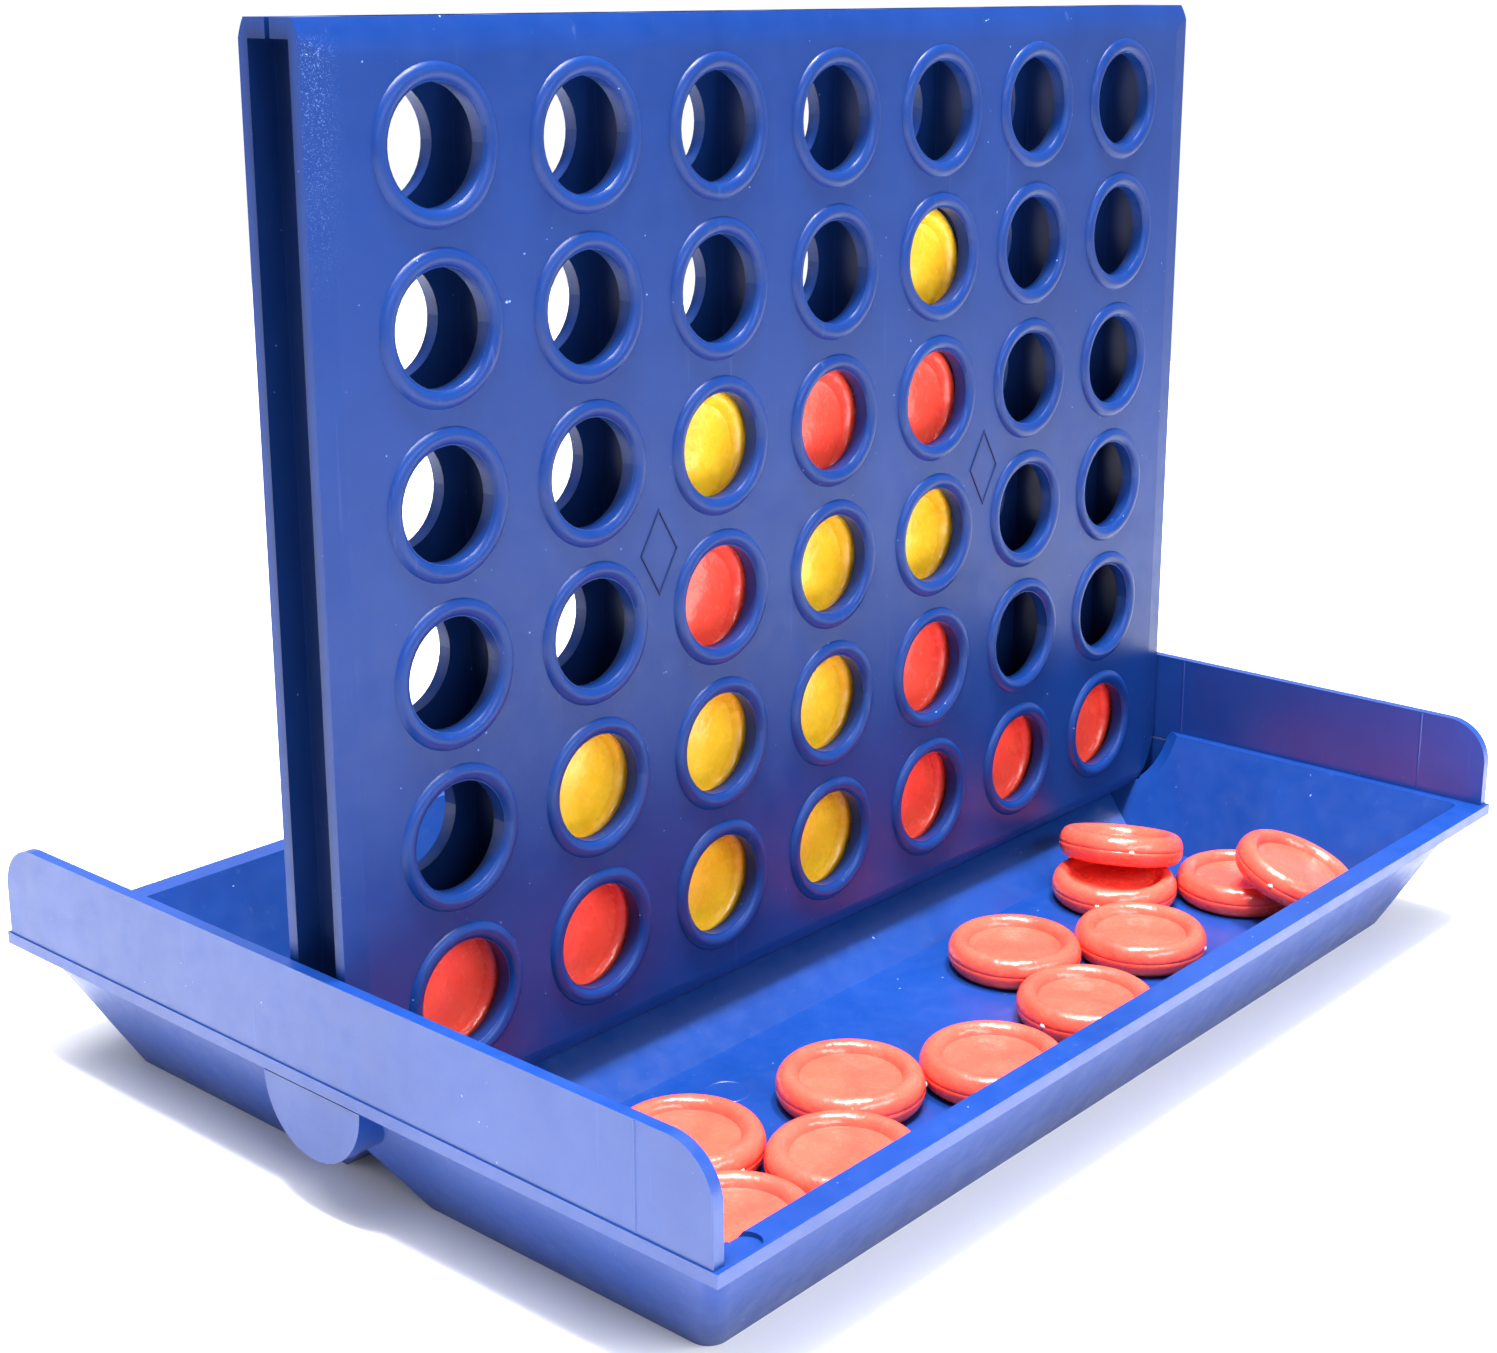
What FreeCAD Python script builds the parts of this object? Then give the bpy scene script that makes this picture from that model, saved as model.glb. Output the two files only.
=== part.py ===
import FreeCAD, Part
import math
import os
import re

# A folding travel edition of the four in a row game. Two moulded half shells make the upright
# grid. It turns on two pins inside the end plates of a twin tray, which stores the loose discs.
# X runs along the grid, Y goes from the front tray to the back tray and Z is up. The origin is
# on the floor under the middle of the grid. Millimetres.

doc = FreeCAD.newDocument("four_in_a_row")
V = FreeCAD.Vector

# ---------------------------------------------------------------- driving dimensions

SIZES = {
    "column_pitch": 24.0,
    "row_pitch": 21.0,
    "first_row": 25.0,  # height of the bottom row of holes
    "hole_radius": 7.2,
    "bead_radius": 8.4,  # middle of the rounded bead round each hole
    "bead_half": 1.25,
    "bead_height": 0.65,
    "grid_length": 181.2,
    "grid_depth": 11.2,
    "grid_foot": 10.3,  # underside of the grid above the floor
    "grid_top": 144.4,
    "grid_corner": 10.5,  # rounded lower corners
    "shell_wall": 2.0,
    "rib_width": 2.8,  # ribs between two columns
    "slot_floor": 14.6,
    "channel_depth": 3.5,  # open channel down each end of the grid
    "channel_play": 0.15,  # pin to the closed lower end of its channel
    "end_block": 2.3,  # height of the blocks that close the channels at the top
    "end_block_seam": 0.42,
    "top_curve": 4.7,  # the outer faces bend in along an arc at the top and at the foot
    "top_curve_depth": 1.4,
    "foot_curve": 2.5,
    "foot_curve_depth": 1.2,
    "end_slope": 3.4,  # and slant in a little at the two ends
    "end_slope_depth": 0.35,
    "peg_radius": 0.8,
    "peg_length": 1.5,
    "peg_play": 0.08,
    "disc_radius": 10.2,
    "disc_thickness": 5.0,
    "disc_rim": 1.5,  # half width of the rounded rim
    "disc_web": 2.7,
    "disc_play": 0.05,
    "floor_length": 162.6,  # outside of the trays, on the floor and just under the rim
    "floor_width": 110.8,
    "tray_length": 181.0,
    "tray_width": 129.0,
    "tray_wall": 1.8,
    "tray_corner": 3.0,
    "rim_top": 19.6,
    "rim_thickness": 1.7,
    "rim_width": 134.2,
    "rim_lip": 0.2,  # how far the rim stands out past the end plates
    "gate_radius": 1.9,  # shallow round moulding gate in the rim, by the front left corner
    "gate_depth": 0.6,
    "gate_x": 85.9,
    "gate_inset": 2.3,
    "ridge_top": 8.9,  # roof-shaped ridge between the two trays, seen from inside
    "ridge_foot": 9.0,  # half width of that ridge on the tray floor
    "ridge_crest": 0.4,
    "plate_gap": 0.4,  # grid end to end plate
    "plate_thickness": 1.6,
    "plate_top": 33.1,
    "plate_length": 132.8,
    "plate_corner": 6.6,
    "pocket_height": 17.6,  # half-round pocket under the middle of each end plate
    "pocket_radius": 9.2,
    "pocket_wall": 1.2,
    "relief_inner": 17.2,  # radii of the hollow that clears the turning grid's lower corners
    "relief_outer": 11.2,
    "relief_length": 5.8,
    "pin_height": 26.6,
    "pin_radius": 3.4,
    "pin_tip_play": 0.5,
}

sheet = doc.addObject("Spreadsheet::Sheet", "Sizes")
for line, (alias, value) in enumerate(SIZES.items(), start=1):
    sheet.set(f"A{line}", alias)
    sheet.set(f"B{line}", str(value))
    sheet.setAlias(f"B{line}", alias)
doc.recompute()

COLUMNS = 7
ROWS = 6
ENDS = {"left": -1, "right": 1}


def size(alias):
    return float(sheet.get(alias))


def bound(text):
    """An expression in which every size name points at the spreadsheet."""
    return re.sub(r"[a-z][a-z_]+", lambda word: f"<<Sizes>>.{word.group()}", text)


# ---------------------------------------------------------------- helpers


def place(item, x, y, z, rotation=None):
    """Sets an object's Placement: a rotation and three expressions for its base."""
    item.Placement = FreeCAD.Placement(V(), rotation or FreeCAD.Rotation())
    for letter, text in zip("xyz", (x, y, z)):
        item.setExpression(f"Placement.Base.{letter}", bound(text))
    return item


def solid(kind, name, sizes, x="0", y="0", z="0", rotation=None):
    """A Part primitive whose sizes and place are tied to the spreadsheet."""
    item = doc.addObject(f"Part::{kind}", name)
    for prop, text in sizes.items():
        item.setExpression(prop, bound(text))
    return place(item, x, y, z, rotation)


def box(name, length, width, height, x, y, z, rotation=None):
    sizes = {"Length": length, "Width": width, "Height": height}
    return solid("Box", name, sizes, x, y, z, rotation)


def fuse(name, items):
    joined = doc.addObject("Part::MultiFuse", name)
    joined.Shapes = items
    return joined


def cut(name, base, tool):
    result = doc.addObject("Part::Cut", name)
    result.Base = base
    result.Tool = tool
    return result


def common(name, items):
    shared = doc.addObject("Part::MultiCommon", name)
    shared.Shapes = items
    return shared


def fillet(name, base, radius_alias, wanted):
    """Rounds the edges of base for which wanted(edge) is true."""
    doc.recompute()
    radius = size(radius_alias)
    rounded = doc.addObject("Part::Fillet", name)
    rounded.Base = base
    rounded.Edges = [
        (n, radius, radius) for n, edge in enumerate(base.Shape.Edges, start=1) if wanted(edge)
    ]
    return rounded


ALONG_Y = FreeCAD.Rotation(V(1, 0, 0), -90)  # turns a primitive's own Z to the row's +Y
ALONG_X = FreeCAD.Rotation(V(0, 1, 0), 90)
UPRIGHT_WEDGE = FreeCAD.Rotation(V(1, 0, 0), 90)  # a wedge grows along its own Y

parts = []


def part(item, name):
    item.Label = name
    parts.append(item)
    return item


# ---------------------------------------------------------------- grid half shells


def column_x(column):
    """Middle of a column as an expression, columns counted from 1 at the left."""
    return f"{column - (COLUMNS + 1) / 2} * column_pitch"


def row_z(row):
    """Middle of a row of holes as an expression, rows counted from 1 at the foot."""
    return f"first_row + {row - 1} * row_pitch"


def holes():
    return [(column, row) for column in range(1, COLUMNS + 1) for row in range(1, ROWS + 1)]


def ribs(side):
    """The ribs of one half: between the columns, and the wider ones beside the end channels."""
    items = []
    for n in range(1, COLUMNS):
        x = f"{n - COLUMNS / 2} * column_pitch - rib_width / 2"
        items.append(
            box(f"{side}_rib_{n}", "rib_width", "grid_depth / 2", "grid_top - grid_foot",
                x, "-grid_depth / 2", "grid_foot")
        )
    inner = f"({COLUMNS / 2} * column_pitch - rib_width / 2)"
    outer = "(grid_length / 2 - channel_depth)"
    for end, sign in ENDS.items():
        x = inner if sign > 0 else f"-{outer}"
        items.append(
            box(f"{side}_rib_{end}", f"{outer} - {inner}",
                "grid_depth / 2", "grid_top - grid_foot", x, "-grid_depth / 2", "grid_foot")
        )
    return items


def channel_ends(side):
    """What closes each end channel below the pin and at the top."""
    items = []
    for end, sign in ENDS.items():
        x = "grid_length / 2 - channel_depth" if sign > 0 else "-grid_length / 2"
        items.append(
            box(f"{side}_heel_{end}", "channel_depth", "grid_depth / 2",
                "pin_height - pin_radius - channel_play - grid_foot",
                x, "-grid_depth / 2", "grid_foot")
        )
        items.append(
            box(f"{side}_block_{end}", "channel_depth", "grid_depth / 2 - end_block_seam",
                "end_block", x, "-grid_depth / 2", "grid_top - end_block")
        )
    return items


def beads(side):
    """The rounded bead round every hole, sunk into the wall up to its raised crown."""
    y = "-grid_depth / 2 + bead_half - bead_height"
    sizes = {"Radius1": "bead_radius", "Radius2": "bead_half"}
    return [
        solid("Torus", f"{side}_bead_{c}_{r}", sizes, column_x(c), y, row_z(r), ALONG_Y)
        for c, r in holes()
    ]


def hole_tools(side):
    sizes = {"Radius": "hole_radius", "Height": "shell_wall + 2"}
    y = "-grid_depth / 2 - 1"
    return [
        solid("Cylinder", f"{side}_hole_{c}_{r}", sizes, column_x(c), y, row_z(r), ALONG_Y)
        for c, r in holes()
    ]


def curve_tool(side, name, edge, up):
    """What the outer face loses where it bends in, along an arc that starts flush with it."""
    height, depth = f"{name}_curve", f"{name}_curve_depth"
    radius = (size(height) ** 2 + size(depth) ** 2) / (2 * size(depth))
    start = f"{edge} - {up} * {height}"
    block = box(f"{side}_{name}_block", "grid_length + 2", f"{depth} + 1", f"{height} + 1",
                "-grid_length / 2 - 1", "-grid_depth / 2 - 1", start if up > 0 else f"{edge} - 1")
    arc = solid("Cylinder", f"{side}_{name}_arc", {"Radius": str(radius), "Height": "grid_length + 4"},
                "-grid_length / 2 - 2", f"-grid_depth / 2 + {radius}", start, ALONG_X)
    return cut(f"{side}_{name}_curve", block, arc)


def end_slope_tool(side, end, sign):
    """A box that slants the outer face inwards beside one end."""
    reach = 6
    lean = math.degrees(math.atan2(size("end_slope_depth"), size("end_slope")))
    turn = FreeCAD.Rotation(V(0, 0, 1), lean * sign)
    corner = turn.multVec(V(0 if sign > 0 else -reach, -reach, 0))
    return box(f"{side}_slope_{end}", str(reach), str(reach), "grid_top",
               f"{sign} * (grid_length / 2 - end_slope) + {corner.x}",
               f"-grid_depth / 2 + {corner.y}", "grid_foot - 1", turn)


def edge_tools(side):
    tools = [curve_tool(side, "top", "grid_top", 1), curve_tool(side, "foot", "grid_foot", -1)]
    return tools + [end_slope_tool(side, end, sign) for end, sign in ENDS.items()]


def outline(side):
    """The shell's outline: a rectangle with two rounded lower corners."""
    depth = "grid_depth / 2 + 2"
    y = "-grid_depth / 2 - 2"
    items = [
        box(f"{side}_outline_high", "grid_length", depth, "grid_top - grid_foot - grid_corner",
            "-grid_length / 2", y, "grid_foot + grid_corner"),
        box(f"{side}_outline_low", "grid_length - 2 * grid_corner", depth,
            "grid_corner", "-grid_length / 2 + grid_corner", y, "grid_foot"),
    ]
    for end, sign in ENDS.items():
        items.append(
            solid("Cylinder", f"{side}_outline_{end}", {"Radius": "grid_corner", "Height": depth},
                  f"{sign} * (grid_length / 2 - grid_corner)", y, "grid_foot + grid_corner",
                  ALONG_Y)
        )
    return fuse(f"{side}_outline", items)


def half_shell(side):
    """The moulding in front of the middle plane, with its holes, beads and ribs."""
    wall = box(f"{side}_wall", "grid_length", "shell_wall", "grid_top - grid_foot",
               "-grid_length / 2", "-grid_depth / 2", "grid_foot")
    rail = box(f"{side}_rail", "grid_length - 2 * channel_depth", "grid_depth / 2",
               "slot_floor - grid_foot", "-grid_length / 2 + channel_depth",
               "-grid_depth / 2", "grid_foot")
    body = fuse(f"{side}_body", [wall, rail, *ribs(side), *channel_ends(side), *beads(side)])
    tools = fuse(f"{side}_tools", [*hole_tools(side), *edge_tools(side)])
    return common(f"{side}_half", [cut(f"{side}_pierced", body, tools), outline(side)])


def peg_places():
    """Every rib between two columns has three pegs, level with the webs between the holes."""
    for n in range(1, COLUMNS):
        for row in (1, 3, 5):
            yield n, row, f"{n - COLUMNS / 2} * column_pitch", f"{row_z(row)} + row_pitch / 2"


def pegs():
    sizes = {"Radius": "peg_radius", "Height": "peg_length + 1"}
    return [solid("Cylinder", f"peg_{n}_{row}", sizes, x, "-1", z, ALONG_Y)
            for n, row, x, z in peg_places()]


def sockets():
    sizes = {"Radius": "peg_radius + peg_play", "Height": "peg_length + peg_play + 1"}
    return [solid("Cylinder", f"socket_{n}_{row}", sizes, x, "-1", z, ALONG_Y)
            for n, row, x, z in peg_places()]


def make_grid():
    front = fuse("front_shell", [half_shell("front"), *pegs()])
    part(front, "grid_front_shell")
    mirrored = doc.addObject("Part::Mirroring", "back_mirrored")
    mirrored.Source = half_shell("back")
    mirrored.Normal = V(0, 1, 0)
    back = cut("back_shell", mirrored, fuse("sockets", sockets()))
    part(back, "grid_back_shell")


# ---------------------------------------------------------------- twin tray base


def tapered(name, length_low, width_low, length_high, width_high, low, high):
    """A box whose four sides slope, between the heights low and high."""
    item = doc.addObject("Part::Wedge", name)
    item.Placement = FreeCAD.Placement(V(), UPRIGHT_WEDGE)
    # The high side is set before the low one, because a wedge refuses to be turned inside out.
    limits = {
        "Ymax": high, "Xmax": f"{length_low} / 2", "Zmax": f"{width_low} / 2",
        "X2max": f"{length_high} / 2", "Z2max": f"{width_high} / 2",
        "Ymin": low, "Xmin": f"-{length_low} / 2", "Zmin": f"-{width_low} / 2",
        "X2min": f"-{length_high} / 2", "Z2min": f"-{width_high} / 2",
    }
    for prop, text in limits.items():
        item.setExpression(prop, bound(text))
    return item


def slanted(edge):
    """True on the corner edges between two sloping sides."""
    start, end = edge.Vertexes[0].Point, edge.Vertexes[-1].Point
    return abs(start.x - end.x) > 1 and abs(start.y - end.y) > 1 and abs(start.z - end.z) > 1


def tray_outside():
    high = "(rim_top - rim_thickness)"
    block = tapered("tray_block", "floor_length", "floor_width", "tray_length", "tray_width",
                    "0", high)
    return fillet("tray_outside", block, "tray_corner", slanted)


def tray_hollow():
    """The space inside the sloping walls, less the ridge between the two trays."""
    rise = size("rim_top") - size("rim_thickness")
    end_slope = (size("tray_length") - size("floor_length")) / 2 / rise
    side_slope = (size("tray_width") - size("floor_width")) / 2 / rise
    wall_x = size("tray_wall") * math.hypot(1, end_slope)
    wall_y = size("tray_wall") * math.hypot(1, side_slope)
    low, high = "tray_wall", "(rim_top + 1)"
    space = tapered(
        "tray_space",
        f"(floor_length + 2 * {end_slope} * {low} - 2 * {wall_x})",
        f"(floor_width + 2 * {side_slope} * {low} - 2 * {wall_y})",
        f"(floor_length + 2 * {end_slope} * {high} - 2 * {wall_x})",
        f"(floor_width + 2 * {side_slope} * {high} - 2 * {wall_y})",
        low, high,
    )
    rounded = fillet("tray_space_rounded", space, "tray_wall", slanted)
    ridge = tapered("ridge", "(tray_length + 4)", "(2 * ridge_foot)", "(tray_length + 4)",
                    "(2 * ridge_crest)", low, "ridge_top")
    return cut("tray_hollow", rounded, ridge)


def ridge_groove():
    """The notch under the ridge, one wall thickness below it."""
    slope = (size("ridge_top") - size("tray_wall")) / (size("ridge_foot") - size("ridge_crest"))
    drop = size("tray_wall") * math.hypot(1, slope)
    apex = f"(ridge_top - {drop})"
    foot = f"(2 * (ridge_crest + {apex} / {slope}))"
    return tapered("ridge_groove", "(tray_length + 4)", foot, "(tray_length + 4)",
                   "(2 * ridge_crest)", "0", apex)


def rim():
    length = "(grid_length + 2 * plate_gap + 2 * plate_thickness + 2 * rim_lip)"
    return box("rim", length, "rim_width", "rim_thickness",
               f"-{length} / 2", "-rim_width / 2", "rim_top - rim_thickness")


def gate_recess():
    sizes = {"Radius": "gate_radius", "Height": "gate_depth + 1"}
    return solid("Cylinder", "gate_recess", sizes, "-gate_x", "-rim_width / 2 + gate_inset",
                 "rim_top - gate_depth")


def end_plate(end, sign):
    inner = "(grid_length / 2 + plate_gap)"
    x = inner if sign > 0 else f"-{inner} - plate_thickness"
    low = "(rim_top - rim_thickness)"
    plate = box(f"plate_{end}", "plate_thickness", "plate_length", f"plate_top - {low}",
                x, "-plate_length / 2", low)
    top = size("plate_top")

    def upper_corner(edge):
        start, finish = edge.Vertexes[0].Point, edge.Vertexes[-1].Point
        level = abs(start.z - top) < 0.01 and abs(finish.z - top) < 0.01
        return level and abs(start.y - finish.y) < 0.01

    return fillet(f"end_plate_{end}", plate, "plate_corner", upper_corner)


def end_pocket(end, sign, name, radius, start, length):
    """Half a cylinder, its round side down, from start inwards along X."""
    x = f"{sign} * {start}" if sign < 0 else f"{start} - {length}"
    down = ALONG_X.multiply(FreeCAD.Rotation(V(0, 0, 1), -90))
    sizes = {"Radius": radius, "Height": length, "Angle": "180"}
    return solid("Cylinder", f"{name}_{end}", sizes, x, "0", "pocket_height", down)


def corner_relief(end, sign, inner):
    """A cone round the pin's axis that gives the grid's lower corner room to swing."""
    wide, narrow = "relief_inner", "relief_outer"
    radii = (narrow, wide) if sign < 0 else (wide, narrow)
    x = f"{inner} - relief_length" if sign > 0 else f"-{inner}"
    sizes = {"Radius1": radii[0], "Radius2": radii[1], "Height": "relief_length"}
    return solid("Cone", f"relief_{end}", sizes, x, "0", "pin_height", ALONG_X)


def pin(end, sign):
    inner = "(grid_length / 2 + plate_gap)"
    length = "(plate_gap + channel_depth - pin_tip_play + plate_thickness / 2)"
    root = f"({inner} + plate_thickness / 2)"
    x = f"{root} - {length}" if sign > 0 else f"-{root}"
    return solid("Cylinder", f"pin_{end}", {"Radius": "pin_radius", "Height": length},
                 x, "0", "pin_height", ALONG_X)


def make_tray():
    outer = "(grid_length / 2 + plate_gap + plate_thickness)"
    inner = "(grid_length / 2 + plate_gap)"
    shells, hollows, pins = [], [tray_hollow(), ridge_groove(), gate_recess()], []
    for end, sign in ENDS.items():
        shells.append(end_plate(end, sign))
        shells.append(end_pocket(end, sign, "pocket_skin", "pocket_radius", outer, "8"))
        hollows.append(
            end_pocket(end, sign, "pocket_space", "(pocket_radius - pocket_wall)", inner, "10")
        )
        x = f"{inner} - 6" if sign > 0 else f"-{inner}"
        hollows.append(
            box(f"pocket_mouth_{end}", "6", "2 * (pocket_radius - pocket_wall)",
                "rim_top + 1 - pocket_height", x, "pocket_wall - pocket_radius", "pocket_height")
        )
        hollows.append(corner_relief(end, sign, inner))
        pins.append(pin(end, sign))
    walls = fuse("tray_walls", [tray_outside(), rim(), *shells])
    hollow = fuse("tray_hollows", hollows)
    part(fuse("tray", [cut("tray_cleared", walls, hollow), *pins]), "tray_base")


# ---------------------------------------------------------------- discs


def disc(name, x, y, z, rotation):
    """A disc with a rounded raised rim on both faces, its middle at the given place."""
    flank = "(disc_thickness / 2 - disc_rim)"
    middle = "(disc_radius - disc_rim)"
    side = solid("Cylinder", f"{name}_side", {"Radius": "disc_radius", "Height": f"2 * {flank}"},
                 z=f"-{flank}")
    web = solid("Cylinder", f"{name}_web", {"Radius": middle, "Height": "disc_web"},
                z="-disc_web / 2")
    rings = [
        solid("Torus", f"{name}_ring_{face}", {"Radius1": middle, "Radius2": "disc_rim"},
              z=f"{sign} * {flank}")
        for face, sign in (("upper", 1), ("lower", -1))
    ]
    whole = fuse(name, [side, web, *rings])
    place(whole, x, y, z, rotation)
    part(whole, name)


# Colours in each column of the grid, from the foot up.
STACKS = {
    1: ["red"],
    2: ["red", "yellow"],
    3: ["yellow", "yellow", "red", "yellow"],
    4: ["yellow", "yellow", "yellow", "red"],
    5: ["red", "red", "yellow", "red", "yellow"],
    6: ["red"],
    7: ["red"],
}

# Loose discs lie flat on the tray floor at these places, as x and y.
LOOSE_RED = [
    (39.8, -35.2), (22.9, -23.3), (14.2, -42.1), (-10.3, -43.1), (-27.7, -32.0),
    (-44.3, -44.5), (-54.1, -26.5), (-65.0, -44.5), (55.7, -20.2), (70.0, -35.1),
]
LOOSE_YELLOW = [
    (-64.0, 23.5), (-41.0, 21.5), (-17.5, 24.0), (6.0, 21.0), (31.5, 23.5), (58.0, 22.0),
    (-53.5, 43.5), (-29.0, 44.5), (-5.0, 44.0), (19.5, 43.0), (45.5, 44.5), (69.0, 42.5),
]
# Two more red discs lean: place of the middle, direction of the tilt axis, tilt.
LEANING_RED = [
    (60.0, -18.5, 9.7, -66.0, -14.4),
    (69.4, -45.7, 9.1, 20.6, 20.6),
]


def make_discs():
    upright = FreeCAD.Rotation(V(1, 0, 0), 90)
    for column, colours in STACKS.items():
        for level, colour in enumerate(colours):
            z = f"slot_floor + disc_radius + disc_play + {level} * (2 * disc_radius + disc_play)"
            name = f"grid_disc_{column}_{level + 1}_{colour}"
            disc(name, column_x(column), "0", z, upright)
    floor = "tray_wall + disc_thickness / 2 + disc_play"
    for colour, places in (("red", LOOSE_RED), ("yellow", LOOSE_YELLOW)):
        for n, (x, y) in enumerate(places, start=1):
            disc(f"loose_disc_{n:02d}_{colour}", str(x), str(y), floor, FreeCAD.Rotation())
    first = len(LOOSE_RED) + 1
    for n, (x, y, z, heading, tilt) in enumerate(LEANING_RED, start=first):
        way = V(math.cos(math.radians(heading)), math.sin(math.radians(heading)), 0)
        disc(f"loose_disc_{n:02d}_red", str(x), str(y), str(z), FreeCAD.Rotation(way, tilt))


# ---------------------------------------------------------------- build and write

make_grid()
make_tray()
make_discs()
doc.recompute()

for item in doc.Objects:
    if "Invalid" in item.State or "Error" in item.State:
        raise SystemExit(f"{item.Name} failed: {item.State}")

os.makedirs("parts", exist_ok=True)
for item in parts:
    shape = item.Shape
    if shape.isNull() or not shape.isValid() or len(shape.Solids) != 1:
        raise SystemExit(f"{item.Label}: {len(shape.Solids)} solids, valid {shape.isValid()}")
for item in parts:
    item.Shape.exportStep(os.path.join("parts", f"{item.Label}.step"))
print(f"{len(parts)} nodes written")
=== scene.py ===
import math
import random

import bpy
import numpy as np
from mathutils import Matrix, Vector


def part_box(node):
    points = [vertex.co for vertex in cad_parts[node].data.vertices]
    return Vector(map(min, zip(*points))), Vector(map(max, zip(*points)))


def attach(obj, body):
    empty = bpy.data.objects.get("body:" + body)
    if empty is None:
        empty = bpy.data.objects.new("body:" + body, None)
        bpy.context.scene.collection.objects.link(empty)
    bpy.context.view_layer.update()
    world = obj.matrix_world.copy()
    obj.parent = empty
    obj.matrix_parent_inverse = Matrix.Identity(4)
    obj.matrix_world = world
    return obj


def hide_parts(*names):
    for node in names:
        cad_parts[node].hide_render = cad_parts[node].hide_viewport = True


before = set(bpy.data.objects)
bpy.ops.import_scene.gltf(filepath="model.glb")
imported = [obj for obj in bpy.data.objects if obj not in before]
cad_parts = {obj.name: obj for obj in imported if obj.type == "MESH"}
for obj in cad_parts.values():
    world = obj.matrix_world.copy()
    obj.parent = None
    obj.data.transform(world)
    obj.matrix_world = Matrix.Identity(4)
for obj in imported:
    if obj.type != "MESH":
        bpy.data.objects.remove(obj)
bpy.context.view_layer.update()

MM = 0.001

# ---------------------------------------------------------------- camera, lights and room

CAMERA_PLACE = (-0.2476, -0.2088, 0.1483)
CAMERA_TURN = (75.09, -0.06, -49.00)  # degrees about X, Y and Z
LENS = 55.17  # millimetres, on a 36 mm sensor
SHIFT = (-0.0152, -0.0572)


def make_camera():
    data = bpy.data.cameras.new("camera")
    data.lens = LENS
    data.sensor_width = 36.0
    data.shift_x, data.shift_y = SHIFT
    data.clip_start = 0.01
    camera = bpy.data.objects.new("camera", data)
    bpy.context.scene.collection.objects.link(camera)
    camera.location = CAMERA_PLACE
    camera.rotation_euler = [math.radians(a) for a in CAMERA_TURN]
    bpy.context.scene.camera = camera


def area_light(name, place, target, width, height, power):
    data = bpy.data.lights.new(name, "AREA")
    data.shape = "RECTANGLE"
    data.size, data.size_y = width, height
    data.energy = power
    light = bpy.data.objects.new(name, data)
    bpy.context.scene.collection.objects.link(light)
    light.location = place
    way = Vector(target) - Vector(place)
    light.rotation_euler = way.to_track_quat("-Z", "Y").to_euler()


MIDDLE = (0.0, 0.0, 0.06)
# Name, place, aim, width, height in metres and power in watts.
LIGHTS = [
    ("window_left", (-0.28, -0.10, 1.15), MIDDLE, 0.16, 0.16, 22.0),
    ("window_right", (0.12, -0.16, 1.15), MIDDLE, 0.16, 0.16, 22.0),
    ("ceiling", (-0.10, 0.05, 1.20), MIDDLE, 1.1, 1.1, 22.0),
    ("front_box", (-0.15, -0.75, 0.50), MIDDLE, 0.40, 0.40, 0.6),
    ("front_wash", (-0.08, -0.38, 0.25), (-0.08, -0.38, 0.0), 0.45, 0.12, 2.6),
    ("left_box", (-0.80, 0.50, 0.28), MIDDLE, 0.60, 0.50, 0.9),
]
# The room's white walls dim towards the ceiling, by the height of the direction looked in.
WALL_TOP, CEILING_START = 0.15, 0.45
WALL_STRENGTH, CEILING_STRENGTH = 1.02, 0.35


def make_lights():
    for light in LIGHTS:
        area_light(*light)


def make_room():
    world = bpy.data.worlds.new("room")
    bpy.context.scene.world = world
    world.use_nodes = True
    tree = world.node_tree
    place = tree.nodes.new("ShaderNodeTexCoord")
    split = tree.nodes.new("ShaderNodeSeparateXYZ")
    fade = tree.nodes.new("ShaderNodeMapRange")
    fade.inputs["From Min"].default_value = WALL_TOP
    fade.inputs["From Max"].default_value = CEILING_START
    fade.inputs["To Min"].default_value = WALL_STRENGTH
    fade.inputs["To Max"].default_value = CEILING_STRENGTH
    tree.links.new(place.outputs["Generated"], split.inputs["Vector"])
    tree.links.new(split.outputs["Z"], fade.inputs["Value"])
    background = tree.nodes["Background"]
    background.inputs["Color"].default_value = (1.0, 1.0, 1.0, 1.0)
    tree.links.new(fade.outputs["Result"], background.inputs["Strength"])
    bpy.context.scene.view_settings.view_transform = "Standard"


# ---------------------------------------------------------------- materials


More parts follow.
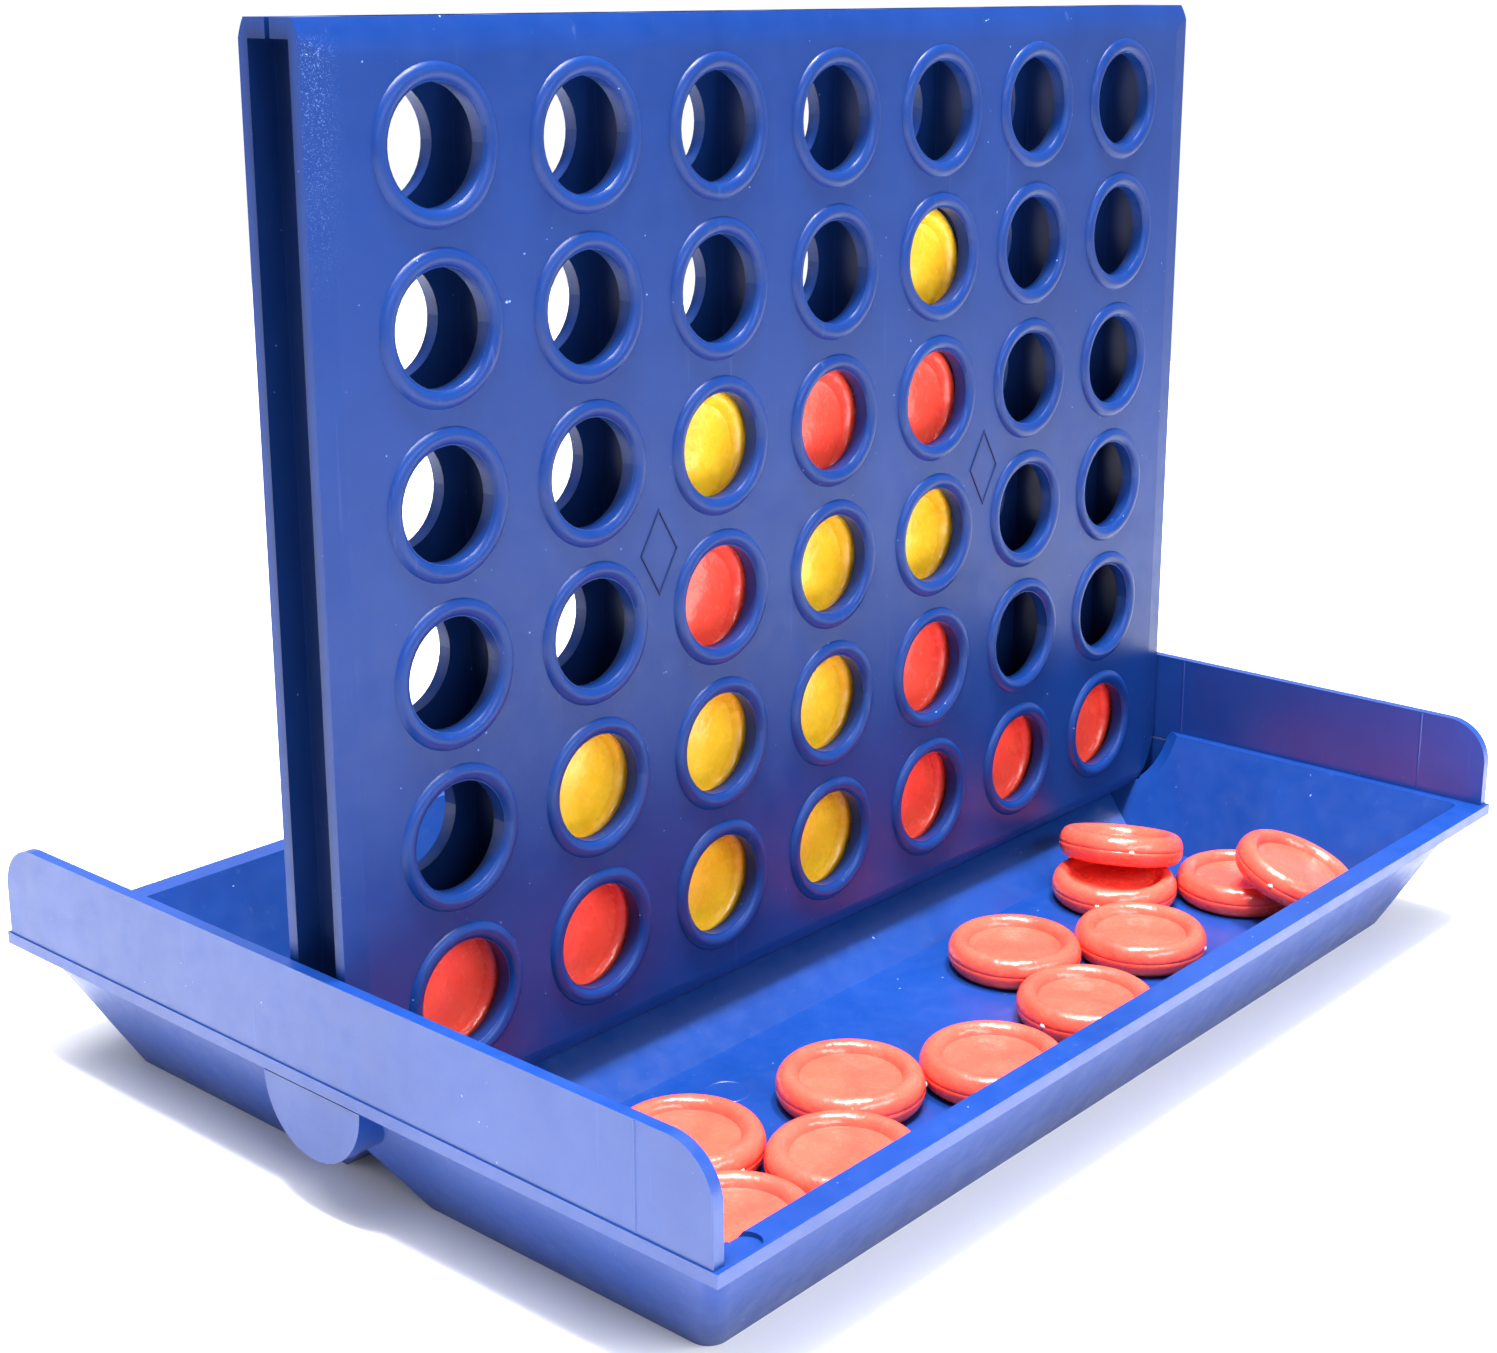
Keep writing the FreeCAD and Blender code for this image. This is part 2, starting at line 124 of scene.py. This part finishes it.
class Surface:
    """A material being built: a Principled shader and the nodes that feed it."""

    def __init__(self, name, roughness, **sockets):
        self.material = bpy.data.materials.new(name)
        self.material.use_nodes = True
        self.tree = self.material.node_tree
        self.shader = self.tree.nodes["Principled BSDF"]
        self.shader.inputs["Roughness"].default_value = roughness
        for socket, value in sockets.items():
            self.shader.inputs[socket.replace("_", " ")].default_value = value
        self.place = self.node("ShaderNodeTexCoord").outputs["Object"]
        self.normal = None
        self.colour = None
        self.worn = None

    def node(self, kind, inputs=None, **settings):
        made = self.tree.nodes.new(kind)
        for key, value in settings.items():
            setattr(made, key, value)
        for key, value in (inputs or {}).items():
            if isinstance(value, bpy.types.NodeSocket):
                self.tree.links.new(value, made.inputs[key])
            else:
                made.inputs[key].default_value = value
        return made

    def noise(self, scale, detail=2.0, roughness=0.5, stretch=(1, 1, 1)):
        """Noise from 0 to 1; scale is how many features there are per metre."""
        mapped = self.node("ShaderNodeMapping", {"Vector": self.place, "Scale": stretch})
        made = self.node(
            "ShaderNodeTexNoise",
            {"Vector": mapped.outputs["Vector"], "Scale": scale, "Detail": detail,
             "Roughness": roughness},
        )
        return made.outputs["Fac"]

    def ramp(self, factor, low, high, start, end):
        """The factor from low to high becomes start to end."""
        made = self.node(
            "ShaderNodeMapRange",
            {"Value": factor, "From Min": low, "From Max": high, "To Min": start, "To Max": end},
        )
        return made.outputs["Result"]

    def mix(self, factor, one, two):
        made = self.node("ShaderNodeMix", data_type="RGBA")
        for key, value in (("Factor", factor), ("A", one), ("B", two)):
            socket = [s for s in made.inputs if s.name == key and s.enabled][0]
            if isinstance(value, bpy.types.NodeSocket):
                self.tree.links.new(value, socket)
            else:
                socket.default_value = (*value, 1.0) if key != "Factor" else value
        return [s for s in made.outputs if s.enabled][0]

    def math(self, operation, one, two=0.5):
        made = self.node("ShaderNodeMath", operation=operation)
        for socket, value in zip(made.inputs, (one, two)):
            if isinstance(value, bpy.types.NodeSocket):
                self.tree.links.new(value, socket)
            else:
                socket.default_value = value
        return made.outputs[0]

    def bump(self, height, distance):
        """Adds relief, distance being how many metres high a full step is."""
        inputs = {"Height": height, "Distance": distance, "Strength": 1.0}
        if self.normal is not None:
            inputs["Normal"] = self.normal
        self.normal = self.node("ShaderNodeBump", inputs).outputs["Normal"]
        self.tree.links.new(self.normal, self.shader.inputs["Normal"])

    def link(self, socket, name):
        self.tree.links.new(socket, self.shader.inputs[name])


BLUES = ((0.0020, 0.026, 0.160), (0.0036, 0.035, 0.205), (0.006, 0.045, 0.230))


def blue_plastic(name, tone, gloss):
    """Satin moulded plastic: flow marks, fine mould grain, flecks and a few rubbed streaks.

    The worn places are left for the caller to mix in. A tone under 1 makes the blue darker.
    """
    surface = Surface(name, 0.36, Specular_IOR_Level=gloss)
    flow = surface.noise(22.0, 3.0, stretch=(1, 1, 0.35))
    cloud = surface.noise(140.0, 4.0, 0.6)
    deep, light, pale = [tuple(tone * part for part in colour) for colour in BLUES]
    base = surface.mix(surface.ramp(flow, 0.35, 0.65, 0, 1), deep, light)
    tinted = surface.mix(surface.ramp(cloud, 0.42, 0.75, 0, 0.35), base, pale)
    streak = surface.noise(900.0, 3.0, 0.6, stretch=(1, 1, 0.03))
    rubbed = surface.math("MULTIPLY", surface.ramp(streak, 0.66, 0.78, 0, 1), 0.08)
    fleck = surface.ramp(surface.noise(1300.0, 1.0), 0.80, 0.83, 0, 0.8)
    surface.worn = surface.math("MAXIMUM", rubbed, fleck)
    surface.colour = tinted
    rough = surface.ramp(surface.noise(300.0, 4.0, 0.6), 0.3, 0.7, 0.28, 0.42)
    duller = surface.math("MULTIPLY", surface.worn, 0.3)
    surface.link(surface.math("ADD", rough, duller), "Roughness")
    surface.bump(surface.noise(4200.0, 2.0), 0.000012)
    surface.bump(surface.noise(160.0, 3.0), 0.000015)
    return surface


def tray_plastic():
    """The tray's plastic, with pale worn places."""
    surface = blue_plastic("tray_blue", 1.0, 0.5)
    surface.link(surface.mix(surface.worn, surface.colour, (0.22, 0.34, 0.70)), "Base Color")
    return surface.material


def mark_painted_shade_plastic():
    """A dark version of the blue for the fine raised marks on the grid: painted shade, so that
    they read as shaded grooves.
    """
    surface = blue_plastic("mark_painted_shade_blue", 0.35, 0.2)
    surface.link(surface.mix(surface.worn, surface.colour, (0.10, 0.16, 0.40)), "Base Color")
    return surface.material


# Where the grid's plastic changes, in metres: each pair runs from no effect to the full effect.
SCUFF_ALONG = (-0.0850, -0.0885)  # towards the left end, along X
SCUFF_HEIGHT = (0.112, 0.138)
SCUFF_FRONT = (-0.0050, -0.0054)  # on the front face only, along Y
# The two SLOT pairs and SLOT_DARK set where painted shade darkens the inside of the slots, not a
# change in the plastic.
SLOT_DEPTH = (0.0045, 0.0032)  # distance from the middle plane
SLOT_HEIGHT = (0.1440, 0.1415)
SLOT_DARK = 0.82


def grid_plastic():
    """The grid's plastic: speckled where the left end is rubbed, and darker inside the slots.

    The dark is painted, in place of the little light that reaches the slots.
    """
    surface = blue_plastic("grid_blue", 0.72, 0.2)
    split = surface.node("ShaderNodeSeparateXYZ", {"Vector": surface.place})
    beside_end = surface.ramp(split.outputs["X"], *SCUFF_ALONG, 0, 1)
    near_top = surface.ramp(split.outputs["Z"], *SCUFF_HEIGHT, 0, 1)
    in_front = surface.ramp(split.outputs["Y"], *SCUFF_FRONT, 0, 1)
    speckle = surface.ramp(surface.noise(5200.0, 2.0, 0.6), 0.58, 0.66, 0, 0.45)
    patch = surface.math("MULTIPLY", surface.math("MULTIPLY", beside_end, near_top), in_front)
    worn = surface.math("MAXIMUM", surface.worn, surface.math("MULTIPLY", patch, speckle))
    # Painted shade: inside the slots and below the top, the blue is mixed towards dark navy in
    # place of the little light that reaches there.
    from_middle = surface.math("ABSOLUTE", split.outputs["Y"])
    inside = surface.ramp(from_middle, *SLOT_DEPTH, 0, 1)
    below_top = surface.ramp(split.outputs["Z"], *SLOT_HEIGHT, 0, SLOT_DARK)
    shade = surface.math("MULTIPLY", inside, below_top)
    scuffed = surface.mix(worn, surface.colour, (0.20, 0.32, 0.66))
    surface.link(surface.mix(shade, scuffed, (0.0008, 0.003, 0.018)), "Base Color")
    return surface.material


def disc_plastic(name, deep, light, rough):
    """Glossy, slightly translucent moulded plastic with sink marks and uneven gloss."""
    surface = Surface(name, rough, Specular_IOR_Level=0.5, Subsurface_Weight=0.12,
                      Subsurface_Scale=0.0015)
    surface.shader.inputs["Subsurface Radius"].default_value = (1.0, 0.35, 0.2)
    swirl = surface.noise(120.0, 4.0, 0.6)
    colour = surface.mix(surface.ramp(swirl, 0.35, 0.7, 0, 1), deep, light)
    surface.link(colour, "Base Color")
    patch = surface.noise(500.0, 3.0, 0.6)
    surface.link(surface.ramp(patch, 0.35, 0.7, rough - 0.06, rough + 0.08), "Roughness")
    surface.bump(surface.noise(320.0, 3.0), 0.0003)
    surface.bump(surface.noise(1500.0, 2.0), 0.00001)
    return surface.material


def floor_card():
    surface = Surface("floor_card", 0.7)
    fibre = surface.noise(60.0, 4.0)
    surface.link(surface.mix(fibre, (0.86, 0.86, 0.88), (0.90, 0.90, 0.91)), "Base Color")
    surface.bump(surface.noise(2500.0, 2.0), 0.00001)
    return surface.material


# ---------------------------------------------------------------- mesh helpers


def add_mesh(name, points, faces, material, smooth_angle=35.0):
    mesh = bpy.data.meshes.new(name)
    mesh.from_pydata([tuple(p) for p in points], [], faces)
    mesh.validate()
    mesh.materials.append(material)
    mesh.polygons.foreach_set("use_smooth", [True] * len(mesh.polygons))
    mesh.set_sharp_from_angle(angle=math.radians(smooth_angle))
    piece = bpy.data.objects.new(name, mesh)
    bpy.context.scene.collection.objects.link(piece)
    return piece


def lathe(profile, segments):
    """Points and faces of a solid turned about Z from a profile that starts and ends on it."""
    rings = profile[1:-1]
    points = [(0.0, 0.0, profile[0][1])]
    for radius, height in rings:
        for k in range(segments):
            turn = 2 * math.pi * k / segments
            points.append((radius * math.cos(turn), radius * math.sin(turn), height))
    points.append((0.0, 0.0, profile[-1][1]))
    last = len(points) - 1
    faces = []
    for k in range(segments):
        after = (k + 1) % segments
        faces.append((0, 1 + k, 1 + after))
        for ring in range(len(rings) - 1):
            start = 1 + ring * segments
            above = start + segments
            faces.append((start + k, above + k, above + after, start + after))
        start = 1 + (len(rings) - 1) * segments
        faces.append((start + k, last, start + after))
    return points, faces


def axis_frame(node):
    """Middle and axis of a disc-shaped CAD node, from its own vertices."""
    points = np.array([v.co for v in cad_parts[node].data.vertices], float)
    low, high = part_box(node)
    middle = (np.array(low) + np.array(high)) / 2
    values, vectors = np.linalg.eigh(np.cov((points - middle).T))
    axis = Vector(vectors[:, int(np.argmin(values))])
    if max(axis, key=abs) < 0:
        axis.negate()
    return Vector(middle), axis


# ---------------------------------------------------------------- discs

GATE_REACH = 10.02 * MM  # from a disc's middle to where its torn gate starts

# Where the torn gate of a loose red disc points, in degrees from +X; the rest are drawn at random.
GATES = {
    "loose_disc_03_red": 176,
    "loose_disc_05_red": -49,
    "loose_disc_07_red": -94,
    "loose_disc_11_red": -139,
}


def disc_profile():
    """Half section of a disc from the middle of its top to the middle of its foot."""
    upper = [(0.0, 0.98), (2.6, 0.96), (3.2, 0.88), (5.8, 0.86), (6.4, 0.90)]
    for k in range(17):  # the fat rounded rim
        turn = math.radians(154 - k * 150 / 16)
        upper.append((8.50 + 1.69 * math.cos(turn), 2.46 * math.sin(turn)))
    upper += [(10.14, 0.08), (10.10, 0.03)]
    upper = [(r * MM, z * MM) for r, z in upper]
    return upper + [(r, -z) for r, z in reversed(upper)]


def gate_stub():
    """A torn moulding gate: a low uneven dome on the side of a disc."""
    profile = [(0.0, 0.34), (0.22, 0.30), (0.36, 0.22), (0.46, 0.08), (0.52, -0.25), (0.0, -0.25)]
    points, faces = lathe([(r * MM, z * MM) for r, z in profile], 14)
    wobble = random.Random(9)
    uneven = []
    for x, y, z in points:
        uneven.append((x * wobble.uniform(0.8, 1.2), y * wobble.uniform(0.7, 1.1), z))
    return uneven, faces


def make_discs(materials):
    points, faces = lathe(disc_profile(), 96)
    draw = random.Random(4)
    for node in sorted(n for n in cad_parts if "disc" in n):
        colour = node.rsplit("_", 1)[1]
        middle, axis = axis_frame(node)
        piece = add_mesh(node.replace("disc", "counter"), points, faces, materials[colour])
        heading = draw.uniform(0, 2 * math.pi)
        turn = axis.to_track_quat("Z", "Y").to_matrix().to_4x4()
        stand = Matrix.Translation(middle) @ turn
        piece.matrix_world = stand @ Matrix.Rotation(heading, 4, "Z")
        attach(piece, node)
        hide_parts(node)
        if node.startswith("loose") and colour == "red":
            if node in GATES:
                heading = math.radians(GATES[node])
            add_gate(node, middle, axis, heading, materials["gate"])


def add_gate(node, middle, axis, heading, material):
    """Sets a torn gate on a disc's side, facing the heading as nearly as its tilt allows."""
    outward = Vector((math.cos(heading), math.sin(heading), 0.0))
    outward = (outward - axis * outward.dot(axis)).normalized()
    points, faces = gate_stub()
    stub = add_mesh(node.replace("disc", "gate"), points, faces, material)
    turn = outward.to_track_quat("Z", "Y").to_matrix().to_4x4()
    stub.matrix_world = Matrix.Translation(middle + outward * GATE_REACH) @ turn
    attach(stub, node)


# ---------------------------------------------------------------- blue mouldings


def dress_moulding(node, material, radius):
    """Gives a CAD moulding its plastic, smooth curved faces and softened edges."""
    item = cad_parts[node]
    item.data.materials.clear()
    item.data.materials.append(material)
    item.data.polygons.foreach_set("use_smooth", [True] * len(item.data.polygons))
    bevel = item.modifiers.new("soft_edges", "BEVEL")
    bevel.width = radius
    bevel.segments = 2
    bevel.limit_method = "ANGLE"
    bevel.angle_limit = math.radians(40)
    bevel.harden_normals = True


GRID_FRONT = -5.6 * MM  # the grid's front face, between the beads
PLATE_OUTSIDE = -92.6 * MM  # outer face of the left end plate
PLATE_INSIDE = 91.0 * MM  # inner face of the right end plate
SEAM_FOOT, SEAM_TOP = 19.8 * MM, 32.9 * MM
SUNK = 0.02 * MM  # how far a mark reaches into the moulding that it stands on


def add_relief(name, body, shape, material):
    """A small moulded mark that moves with a body; shape is its points and faces."""
    piece = add_mesh(name, *shape, material, 25.0)
    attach(piece, body)


def closed_band(stations, count):
    """Faces round a closed band made of stations, each with count points."""
    faces = []
    for station in range(stations):
        after = (station + 1) % stations
        for k in range(count):
            step = (k + 1) % count
            here, there = count * station, count * after
            faces.append((here + k, there + k, there + step, here + step))
    return faces


def lozenge(x, z, half_width, half_height, line, height):
    """A raised lozenge-shaped frame on the front face of the grid."""
    ways = ((1, 0), (0, 1), (-1, 0), (0, -1))
    sections = ((0.0, SUNK), (0.3 * line, -height), (0.7 * line, -height), (line, SUNK))
    points = []
    for across, up in ways:
        for inset, rise in sections:
            reach = half_width - inset
            climb = half_height - inset * half_height / half_width
            points.append((x + across * reach, GRID_FRONT + rise, z + up * climb))
    return points, closed_band(len(ways), len(sections))


def ring_mark(x, y, z, radius):
    """The faint circle that an ejector pin leaves on the tray floor."""
    section = ((-0.30, -0.02), (-0.12, 0.07), (0.12, 0.07), (0.30, -0.02))
    count = 40
    points = []
    for k in range(count):
        turn = 2 * math.pi * k / count
        for across, rise in section:
            reach = radius + across * MM
            points.append((x + reach * math.cos(turn), y + reach * math.sin(turn), z + rise * MM))
    return points, closed_band(count, len(section))


def seam(x, y):
    """A fine upright mould line on an end plate's face that looks towards -X."""
    section = ((0.02, -0.22), (-0.10, -0.06), (-0.10, 0.06), (0.02, 0.22))
    points = [(x + dx * MM, y + dy * MM, z) for z in (SEAM_FOOT, SEAM_TOP) for dx, dy in section]
    faces = [(k, (k + 1) % 4, 4 + (k + 1) % 4, 4 + k) for k in range(4)]
    return points, [*faces, (3, 2, 1, 0), (4, 5, 6, 7)]


def make_marks(plain, dark):
    for side, x in (("left", -36.2), ("right", 36.2)):
        shape = lozenge(x * MM, 75.6 * MM, 3.6 * MM, 6.0 * MM, 0.45 * MM, 0.16 * MM)
        # The lozenges take the blue darkened with painted shade.
        add_relief(f"lozenge_{side}", "grid", shape, dark)
    ring = ring_mark(-36.5 * MM, -17.5 * MM, 1.8 * MM, 3.0 * MM)
    add_relief("ejector_ring", "tray", ring, plain)
    add_relief("plate_seam_left", "tray", seam(PLATE_OUTSIDE, -55.2 * MM), plain)
    add_relief("plate_seam_right", "tray", seam(PLATE_INSIDE, -55.2 * MM), plain)
    add_relief("plate_seam_inner", "tray", seam(PLATE_INSIDE, -10.6 * MM), plain)


def make_floor():
    """A white card of limited size; past its edge the white room shows."""
    corners = [(-0.80, -0.50, 0), (0.55, -0.50, 0), (0.55, 0.75, 0), (-0.80, 0.75, 0)]
    floor = add_mesh("floor", corners, [(0, 1, 2, 3)], floor_card())


make_camera()
make_lights()
make_room()
make_floor()
tray_blue = tray_plastic()
grid_blue = grid_plastic()
dress_moulding("tray_base", tray_blue, 0.25 * MM)
dress_moulding("grid_front_shell", grid_blue, 0.15 * MM)
dress_moulding("grid_back_shell", grid_blue, 0.15 * MM)
make_marks(tray_blue, mark_painted_shade_plastic())
make_discs({
    "red": disc_plastic("red_plastic", (0.82, 0.066, 0.042), (0.88, 0.092, 0.060), 0.24),
    "yellow": disc_plastic("yellow_plastic", (0.72, 0.40, 0.015), (0.84, 0.52, 0.03), 0.26),
    "gate": disc_plastic("gate_plastic", (0.80, 0.45, 0.38), (0.86, 0.60, 0.52), 0.5),
})
